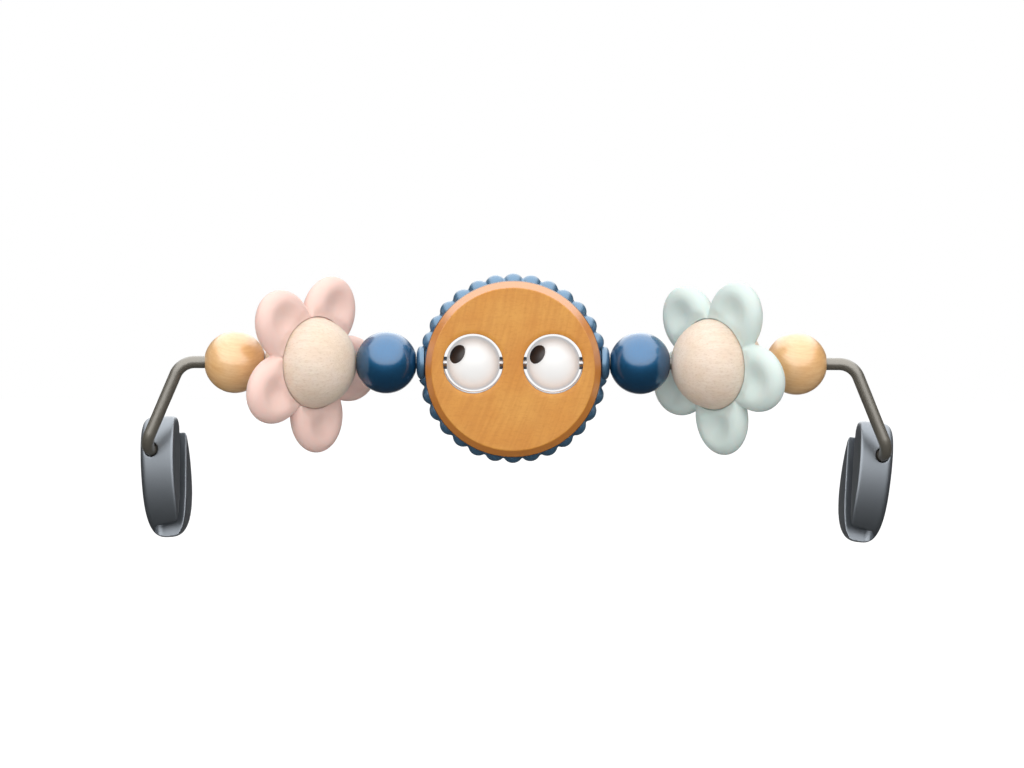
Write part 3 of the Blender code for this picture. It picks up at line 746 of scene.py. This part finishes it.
wheelSizes = {
    "hang": 3 * mm,
    "radius": 49.7 * mm,
    "backFace": 6 * mm,
    "frontFace": 14.5 * mm,
    "chamfer": 4 * mm,
    "edge": 0.45 * mm,
    "steps": 192,
    "eyeSpacing": 45 * mm,
    "eyeHole": 16.9 * mm,
    "eyeFlare": 2.9 * mm,
    "eyeFlareDepth": 0.6 * mm,
    "coreRadius": 45.5 * mm,
    "coreHalf": 5.7 * mm,
    "knobs": 30,
    "knobCircle": 47.7 * mm,
    "knobRadius": 6 * mm,
    "voxel": 0.6 * mm,
    "smoothing": 3,
    "hubReach": 54.5 * mm,
    "hubRim": 51.6 * mm,
    "hubFlat": 4.75 * mm,
    "hubRadius": 9.5 * mm,
    "hubSeat": 50 * mm,
    "hubStem": 4.8 * mm,
    "hubStemLength": 8 * mm,
    "hubEdge": 0.35 * mm,
    "hubSteps": 12,
    "bore": 3.8 * mm,
    "gap": 0.3 * mm,
    "seatGap": 0.1 * mm,
    "seatTool": 20 * mm,
    "stemTool": 120 * mm,
}
discPaint = {
    "light": (0.620, 0.290, 0.050), "warm": (0.565, 0.226, 0.028), "dark": (0.370, 0.106, 0.011),
    "roughness": 0.5, "lines": 420, "pores": 900, "clouds": 42, "grain": 0.26, "hatch": 0.08, "fleck": 0.20,
    "waver": 0.12, "pith": (-300 * mm, 90 * mm), "lacquer": 0.1,
    # the chamfer colour is partly end grain and partly painted shade
    "rimReach": 45.9 * mm, "rimGrainAndShade": (0.52, 0.178, 0.018),
    # a painted shadow line along the disc's outermost edge
    "rimShadowReach": 49.3 * mm, "paintedRimShadow": (0.10, 0.035, 0.012),
    "fixed": {"Specular_IOR_Level": 0.3, "Coat_Roughness": 0.24, "Coat_IOR": 2.1},
}
ringPaint = {
    "colour": (0.070, 0.172, 0.285), "drift": (0.064, 0.160, 0.268), "metal": 0.5,
    "skin": 1400, "skinStrength": 0.12, "roughness": 0.42,
    "fixed": {"Specular_IOR_Level": 0.5, "Coat_Weight": 1.0, "Coat_IOR": 1.6, "Coat_Roughness": 0.3},
}


def eyeHoleTool(x):
    # a rod with a rounded flare at both ends
    radius, flare, face = wheelSizes["eyeHole"], wheelSizes["eyeFlare"], wheelSizes["frontFace"]
    depth = wheelSizes["eyeFlareDepth"]
    half = [(face - depth, radius), (face + depth, radius + 2 * flare), (face + depth, 0)]
    outline = [(-along, out) for along, out in reversed(half)] + half
    tool = lathe("eyeHoleTool", outline, 96)
    settle(tool, Matrix.Translation((x, 0, 0)) @ lengthways)
    return tool


def makeDisc(name):
    radius, back, front = wheelSizes["radius"], wheelSizes["backFace"], wheelSizes["frontFace"]
    chamfer = wheelSizes["chamfer"]
    outline = [(back, 0), (back, radius), (front - chamfer, radius), (front, radius - chamfer), (front, 0)]
    piece = lathe(name, outline, wheelSizes["steps"])
    openMesh(piece, "FACE")
    pickFaces(piece, lambda centre, normal: abs(normal.x) > 0.99)
    bpy.ops.mesh.dissolve_faces()
    closeMesh()
    return piece


def softenDisc(piece):
    # rounds the cut edges, and keeps the flat faces' shading flat beside them
    roundEdges(piece, wheelSizes["edge"], 3, 12)
    smooth(piece)
    applyModifier(piece, "WEIGHTED_NORMAL", keep_sharp=True, weight=100)


def makeKnobRing():
    # a plate with a row of balls round its rim, melted together
    parts = [plate(wheelSizes["coreRadius"], 2 * wheelSizes["coreHalf"], 128)]
    reach = wheelSizes["knobCircle"]
    flat = wheelSizes["coreHalf"] / wheelSizes["knobRadius"]
    for number in range(wheelSizes["knobs"]):
        angle = math.pi / 2 + math.tau * number / wheelSizes["knobs"]
        clearSelection()
        bpy.ops.mesh.primitive_uv_sphere_add(
            segments=32, ring_count=16, radius=wheelSizes["knobRadius"],
            location=(reach * math.cos(angle), 0, reach * math.sin(angle))
        )
        knob = bpy.context.object
        openMesh(knob)
        bpy.ops.mesh.select_all(action="SELECT")
        bpy.ops.transform.resize(value=(1, flat, 1))
        closeMesh()
        parts.append(knob)
    ring = joinAll(parts)
    ring.name = "knobRing"
    settle(ring)
    meltTogether(ring, wheelSizes["voxel"], wheelSizes["smoothing"])
    return ring


def makeHub(name):
    reach, rim, flat = wheelSizes["hubReach"], wheelSizes["hubRim"], wheelSizes["hubFlat"]
    edge, seat, stem = wheelSizes["hubRadius"], wheelSizes["hubSeat"], wheelSizes["hubStem"]
    outline = [(reach, wheelSizes["bore"])]
    for step in range(wheelSizes["hubSteps"] + 1):
        swing = math.pi / 2 * step / wheelSizes["hubSteps"]
        outline.append((rim + (reach - rim) * math.cos(swing), flat + (edge - flat) * math.sin(swing)))
    inner = seat - wheelSizes["hubStemLength"]
    outline += [(seat, edge), (seat, stem), (inner, stem), (inner, wheelSizes["bore"])]
    piece = lathe(name, outline, 96)
    roundEdges(piece, wheelSizes["hubEdge"], 3, 40)
    smooth(piece)
    return piece


wheelAt = Matrix.Translation(spinPoint("wheel"))
hang = Matrix.Translation((0, 0, -wheelSizes["hang"]))
eyeTools = [eyeHoleTool(-wheelSizes["eyeSpacing"] / 2), eyeHoleTool(wheelSizes["eyeSpacing"] / 2)]
for name, node, turn in (("frontDisc", "wheel_front_disc", -90), ("backDisc", "wheel_back_disc", 90)):
    disc = makeDisc(name)
    settle(disc, hang @ turnOn("Z", turn))
    cutWith(disc, eyeTools)
    softenDisc(disc)
    settle(disc, wheelAt)
    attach(disc, "wheel")
    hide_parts(node)
    dress(disc, birchPaint(name + "Paint", (wheelAt @ hang).translation, discPaint))

ring = makeKnobRing()
settle(ring, hang)
seatReach = wheelSizes["hubSeat"] - wheelSizes["seatGap"] + wheelSizes["seatTool"] / 2
hubTools = [
    rod(wheelSizes["hubRadius"] + wheelSizes["gap"], wheelSizes["seatTool"], 48, (side * seatReach, 0, 0))
    for side in (-1, 1)
]
hubTools.append(rod(wheelSizes["hubStem"] + wheelSizes["gap"], wheelSizes["stemTool"], 48))
cutWith(ring, eyeTools + hubTools)
smooth(ring)
settle(ring, wheelAt)
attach(ring, "wheel")
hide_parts("wheel_knob_ring")
bluePlastic = mouldedPaint("bluePlastic", ringPaint)
dress(ring, bluePlastic)
throwAway(eyeTools + hubTools)
for label, side in sides.items():
    hub = makeHub(label + "Hub")
    settle(hub, wheelAt @ Matrix.Rotation(math.pi if side < 0 else 0, 4, "Z"))
    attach(hub, "wheel")
    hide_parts("wheel_" + label + "_hub")
    dress(hub, bluePlastic)
print("wheel made")


# Eyes

eyeSizes = {
    "radius": 15.3 * mm,
    "bore": 3.8 * mm,
    "pupil": 5.65 * mm,
    "pupilGap": 0.12 * mm,
    "pupilDepth": 3 * mm,
    "pupilSink": 0.1 * mm,
    "pocketTool": 10 * mm,
    "look": (-0.635, -0.672, 0.382),
    "edge": 0.35 * mm,
    "steps": 96,
}
# the eye white glows: its emission is painted light, which lifts the ball's shaded edge deep in its hole so
# that the whole ball looks evenly white, and its base colour is lowered to leave room for that glow
glowingWhitePaint = {
    "colour": (0.50, 0.498, 0.492), "drift": (0.485, 0.483, 0.477),
    "skin": 500, "skinStrength": 0.05, "roughness": 0.26,
    "fixed": {
        "Subsurface_Weight": 1.0, "Subsurface_Radius": (7 * mm, 7 * mm, 7 * mm), "Subsurface_Scale": 1.0,
        "Emission_Color": (1.0, 0.985, 0.97, 1), "Emission_Strength": 0.42, "Specular_IOR_Level": 0.25,
    },
}
blackPaint = {
    "colour": (0.022, 0.017, 0.016), "drift": (0.028, 0.020, 0.018),
    "skin": 1500, "skinStrength": 0.15, "roughness": 0.38, "fixed": {"Specular_IOR_Level": 0.5},
}
glowingEyeWhite = mouldedPaint("glowingEyeWhite", glowingWhitePaint)
pupilBlack = mouldedPaint("pupilBlack", blackPaint)

for label in sides:
    radius, gap = eyeSizes["radius"], eyeSizes["pupilGap"]
    rim = math.degrees(math.asin(eyeSizes["bore"] / radius))
    ball = lathe(label + "EyeBall", rounding(radius, rim, 180 - rim, 40), eyeSizes["steps"])
    face = Vector(eyeSizes["look"]).to_track_quat("X", "Z").to_matrix().to_4x4()
    length = eyeSizes["pocketTool"]
    floor = radius - eyeSizes["pupilDepth"] - gap
    pocket = rod(eyeSizes["pupil"] + gap, length, 64, (floor + length / 2, 0, 0))
    settle(pocket, face)
    cutWith(ball, [pocket])
    throwAway([pocket])
    top = math.degrees(math.asin(eyeSizes["pupil"] / radius))
    cap = radius - eyeSizes["pupilSink"]
    floor = cap - eyeSizes["pupilDepth"]
    outline = [(cap, 0)] + rounding(cap, 0, top, 12)[1:] + [(floor, eyeSizes["pupil"]), (floor, 0)]
    pupil = lathe(label + "Pupil", outline, 64)
    roundEdges(pupil, eyeSizes["edge"], 3, 40)
    settle(pupil, face)
    body = label + "_eye"
    for piece, node, slot, paint in (
        (ball, label + "_eye", "eye_white", glowingEyeWhite), (pupil, label + "_pupil", "pupil", pupilBlack)
    ):
        smooth(piece)
        settle(piece, Matrix.Translation(spinPoint(body)))
        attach(piece, body)
        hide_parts(node)
        dress(piece, paint)
print("eyes made")


# Clips

clipSizes = {
    "height": 69 * mm,
    "depth": 27.4 * mm,
    "width": 21.2 * mm,
    "gap": 9.6 * mm,
    "outerWall": 4.3 * mm,
    "frontDraft": 2.4 * mm,
    "backDraft": 0.6 * mm,
    "outerEdge": 4 * mm,
    "innerEdge": 1.2 * mm,
    "topRoundness": 7.0,
    "bottomRoundness": 3.5,
    "lean": 11,
    "yaw": 19,
    "roll": {"left": 4.1, "right": 7.8},
    "pivotHeight": 16.7 * mm,
    "pivotOutward": 3 * mm,
    "bore": 4.1 * mm,
    "recess": 5.3 * mm,
    "wall": 10.15 * mm,
    "recessDepth": 3.2 * mm,
    "mouthPast": 2 * mm,
    "borePast": 3 * mm,
    "floorRound": 0.46,
    "cornerShare": 0.45,
    "rings": 36,
    "voxel": 0.42 * mm,
    "smoothing": 5,
}
clipPaint = {
    "colour": (0.205, 0.228, 0.255), "drift": (0.192, 0.215, 0.241), "metal": 0.92,
    "skin": 1600, "skinStrength": 0.12, "roughness": 0.40,
    "fixed": {"Specular_IOR_Level": 0.5, "Coat_Weight": 1.0, "Coat_IOR": 1.55, "Coat_Roughness": 0.42},
}


def clipShare(height):
    # how wide and how deep the oval is at a height, against its middle
    share = min(abs(2 * height / clipSizes["height"]), 0.9995)
    roundness = clipSizes["topRoundness"] if height > 0 else clipSizes["bottomRoundness"]
    return (1 - share**roundness) ** (1 / roundness), math.sqrt(1 - share**2)


def makeClip(label):
    # modelled as the left clip, with its open side towards +X
    clearSelection()
    bpy.ops.mesh.primitive_plane_add(size=1)
    block = bpy.context.object
    block.name = label + "SlottedClip"
    block.scale = (clipSizes["width"], clipSizes["depth"], 1)
    settle(block)
    openMesh(block)
    beside, along = (clipSizes[name] * clipSizes["cornerShare"] for name in ("width", "depth"))
    for sign, radius in ((-1, clipSizes["outerEdge"]), (1, clipSizes["innerEdge"])):
        pickVerts(block, lambda co: co.x * sign > beside and abs(co.y) > along)
        bpy.ops.mesh.bevel(offset=radius, offset_type="OFFSET", segments=6, affect="VERTICES")
    for way in (1, -1):
        closeMesh()
        openMesh(block, "FACE")
        pickFaces(block, lambda centre, normal: abs(centre.z) < 0.01 * mm and abs(normal.z) > 0.9)
        before, at = (1.0, 1.0), 0.0
        for index in range(1, clipSizes["rings"] + 1):
            height = way * clipSizes["height"] / 2 * math.sin(math.pi / 2 * index / clipSizes["rings"])
            shares = clipShare(height)
            extrudeBy((0, 0, height - at))
            size = (shares[0] / before[0], shares[1] / before[1], 1)
            bpy.ops.transform.resize(value=size, center_override=(0, 0, height))
            before, at = shares, height
    closeMesh()
    outwards(block)
    tools = [slotTool(), pivotTool()]
    cutWith(block, tools)
    throwAway(tools)
    meltTogether(block, clipSizes["voxel"], clipSizes["smoothing"])
    return block


def slotTool():
    # a slab with a round inner edge; its front wall comes nearer to the back wall towards that edge
    floor = clipSizes["outerWall"] - clipSizes["width"] / 2
    mouth = clipSizes["width"] / 2 + clipSizes["mouthPast"]
    middle = (floor + mouth) / 2
    clearSelection()
    bpy.ops.mesh.primitive_cube_add(size=1, location=(middle, 0, 0))
    tool = bpy.context.object
    tool.scale = (mouth - floor, clipSizes["gap"], 2 * clipSizes["height"])
    settle(tool)
    openMesh(tool)
    for way, draft in ((-1, clipSizes["frontDraft"]), (1, clipSizes["backDraft"])):
        pickVerts(tool, lambda co: co.x < middle and co.y * way > 0)
        bpy.ops.transform.translate(value=(0, -way * draft, 0))
    bpy.ops.mesh.select_mode(type="EDGE")
    pickEdges(tool, lambda a, b: abs(a.z - b.z) > clipSizes["height"] and a.x < middle)
    narrow = clipSizes["gap"] - clipSizes["frontDraft"] - clipSizes["backDraft"]
    bpy.ops.mesh.bevel(offset=narrow * clipSizes["floorRound"], segments=12, affect="EDGES")
    closeMesh()
    settle(tool, turnOn("X", -clipSizes["lean"]))
    return tool


def clipPivot():
    height = clipSizes["pivotHeight"]
    front = -clipSizes["depth"] / 2 * math.sqrt(1 - (2 * height / clipSizes["height"]) ** 2)
    return Vector((-clipSizes["pivotOutward"], front, height))


def pivotTool():
    start = -clipSizes["borePast"]
    shoulder = clipSizes["wall"] - clipSizes["recessDepth"]
    end = clipSizes["wall"] + clipSizes["gap"] / 2
    bore, recess = clipSizes["bore"], clipSizes["recess"]
    outline = [(start, 0), (start, bore), (shoulder, bore), (shoulder, recess), (end, recess), (end, 0)]
    tool = lathe("pivotTool", outline, 64)
    settle(tool, Matrix.Translation(clipPivot()) @ turnOn("X", -clipSizes["lean"]) @ lengthways)
    return tool


clipPlastic = mouldedPaint("clipPlastic", clipPaint)
for label, side in sides.items():
    clip = makeClip(label)
    settle(clip, Matrix.Translation(-clipPivot()))
    if side > 0:
        settle(clip, Matrix.Scale(-1, 4, (1, 0, 0)))
        outwards(clip)
    roll = Matrix.Rotation(math.radians(side * clipSizes["roll"][label]), 4, footAxis(label))
    yaw = turnOn("Z", side * clipSizes["yaw"])
    settle(clip, Matrix.Translation(pivotPoint(label)) @ roll @ yaw)
    smooth(clip, 60)
    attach(clip, label + "_clip")
    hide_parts(label + "_clip")
    dress(clip, clipPlastic)
    print(label, "clip made")


# Small pieces kept from the frame

steel = mouldedPaint("retainerSteel", {
    "colour": (0.60, 0.60, 0.61), "drift": (0.52, 0.52, 0.53), "metal": 1.0,
    "skin": 2500, "skinStrength": 0.2, "roughness": 0.28, "fixed": {},
})
plainWood = birchPaint("dowelWood", (0, 0, 0), {**endBeadPaint, "lacquer": 0.0})
for name, node in nodes.items():
    if "retainer" in name:
        dress(node, steel)
    elif "dowel" in name or "wheel_pin" in name:
        dress(node, plainWood)
print("kept nodes dressed")


# Studio

studio = {
    "distance": 2.3,
    "elevation": 3.0,
    "roll": 0.18,
    "lookAt": (-2.8 * mm, 0, -11.9 * mm),
    "perPixel": 0.565 * mm,
    "frameWidth": 1024,
    "sensor": 36,
    "viewEnd": 50,
    "softbox": {"size": 4.2, "distance": 1.15, "elevation": 53, "radiance": 1.22},
    "dim": 0.05,
}
floorLook = {
    "drop": 0.42, "size": 14, "paper": 0.30,
    "near": 0.72, "far": 0.95, "farReach": (1.6, 1.4),  # how white it is under the object and away from it
    "below": 0.26, "front": 0.68, "frontReach": (0.45, 0.2),  # how pale the object finds it
    "whiteBehind": (0.8, 0.3), "whiteSpread": 1.5,  # where a mirrored ray finds it white
    "fixed": {"Roughness": 0.9, "Specular_IOR_Level": 0.0, "Emission_Strength": 1.0},
}
skyLook = {
    "mirrored": 2.3, "sideways": 0.09, "front": 0.61, "back": 0.46, "fadeToFront": 0.7,
    "backdrop": (0.96, 0.03),  # how nearly straight behind a mirrored ray has to go to meet the backdrop
    "overhead": (0.16, 0.08), "overheadSpread": 0.6, "overheadFrom": (-0.1, 0.2),
    "ahead": (0.52, 0.06), "softboxEdge": (0.49, 0.03),
}


def makeCamera():
    up = math.radians(studio["elevation"])
    target = barMiddle + Vector(studio["lookAt"])
    back = Vector((0, -math.cos(up), math.sin(up)))
    clearSelection()
    bpy.ops.object.camera_add(location=target + back * studio["distance"])
    camera = bpy.context.object
    roll = math.radians(studio["roll"])
    level, rise = Vector((1, 0, 0)), Vector((0, math.sin(up), math.cos(up)))
    right = level * math.cos(roll) + rise * math.sin(roll)
    top = rise * math.cos(roll) - level * math.sin(roll)
    aim = Matrix((right, top, back)).transposed().to_4x4()
    camera.matrix_world = Matrix.Translation(camera.location) @ aim
    focal = studio["distance"] / studio["perPixel"]
    camera.data.sensor_width = studio["sensor"]
    camera.data.lens = focal / studio["frameWidth"] * studio["sensor"]
    camera.data.clip_end = studio["viewEnd"]
    bpy.context.scene.camera = camera


def makeSoftbox():
    # one large round softbox in front of the object and above it
    look = studio["softbox"]
    up = math.radians(look["elevation"])
    way = Vector((0, -math.cos(up), math.sin(up)))
    clearSelection()
    bpy.ops.object.light_add(type="AREA", location=barMiddle + way * look["distance"])
    lamp = bpy.context.object
    lamp.name = "softbox"
    lamp.data.shape = "DISK"
    lamp.data.size = look["size"]
    lamp.data.energy = look["radiance"] * math.pi * math.pi / 4 * look["size"] ** 2
    lamp.rotation_euler = way.to_track_quat("Z", "Y").to_euler()


def makeFloor():
    # white to the eye; plain pale paper to the light, which keeps the object's shadow
    look = floorLook
    clearSelection()
    bpy.ops.mesh.primitive_plane_add(size=look["size"], location=(0, 0, barMiddle.z - look["drop"]))
    floor = bpy.context.object
    floor.name = "studioFloor"
    settle(floor)
    paint = Paint("floorPaint", **look["fixed"])
    x, y = (paint.split(paint.place, axis) for axis in range(2))
    behind = (y - abs(x) * look["whiteSpread"]).above(*look["whiteBehind"])
    shown = paint.rayIs("Camera") + paint.rayIs("Transmission") + paint.rayIs("Glossy") * behind
    away = paint.length(paint.place).above(*look["farReach"])
    glow = paint.mix(away, (look["near"],) * 3, (look["far"],) * 3)
    bounce = paint.mix((0 - y).above(*look["frontReach"]), (look["below"],) * 3, (look["front"],) * 3)
    lit = paint.mix(paint.rayIs("Diffuse"), (studio["dim"],) * 3, bounce)
    paint.feed("Base Color", paint.mix(shown, lit, (look["paper"],) * 3))
    paint.feed("Emission Color", paint.mix(shown, (0, 0, 0), glow))
    dress(floor, paint)


def makeWorld():
    # white to the eye; mirrored rays meet one bright sky in front of the object, above and behind it, a white
    # backdrop straight behind it, and a dim room elsewhere
    look = skyLook
    world = bpy.data.worlds.new("studioWorld")
    bpy.context.scene.world = world
    world.use_nodes = True
    board = Board(world.node_tree)
    way = board.node("ShaderNodeTexCoord", out="Generated")
    x, y, z = (board.split(way, axis) for axis in range(3))
    up = math.radians(studio["softbox"]["elevation"])
    ahead = z * math.sin(up) - y * math.cos(up)
    overhead = (z - abs(x) * look["overheadSpread"]).above(*look["overhead"]) * y.above(*look["overheadFrom"])
    sky = overhead + (1 - overhead) * ahead.above(*look["ahead"])
    softboxShare = studio["softbox"]["radiance"] * math.pi / 4
    light = look["mirrored"] - ahead.above(*look["softboxEdge"]) * softboxShare
    behind = y.above(*look["backdrop"]) * (1 - sky) + sky * light
    mirrored = look["sideways"] + behind * (1 - look["sideways"])
    fill = look["back"] + (0 - y).above(0, look["fadeToFront"]) * (look["front"] - look["back"])
    glossy = board.rayIs("Glossy")
    unseen = glossy * mirrored + (1 - glossy) * fill
    seen = board.rayIs("Camera") + board.rayIs("Transmission")
    background = world.node_tree.nodes["Background"]
    background.inputs["Color"].default_value = (1, 1, 1, 1)
    board.join(seen + (1 - seen) * unseen, background.inputs["Strength"])


makeCamera()
makeSoftbox()
makeFloor()
makeWorld()
bpy.context.scene.view_settings.view_transform = "Standard"
print("studio lit")
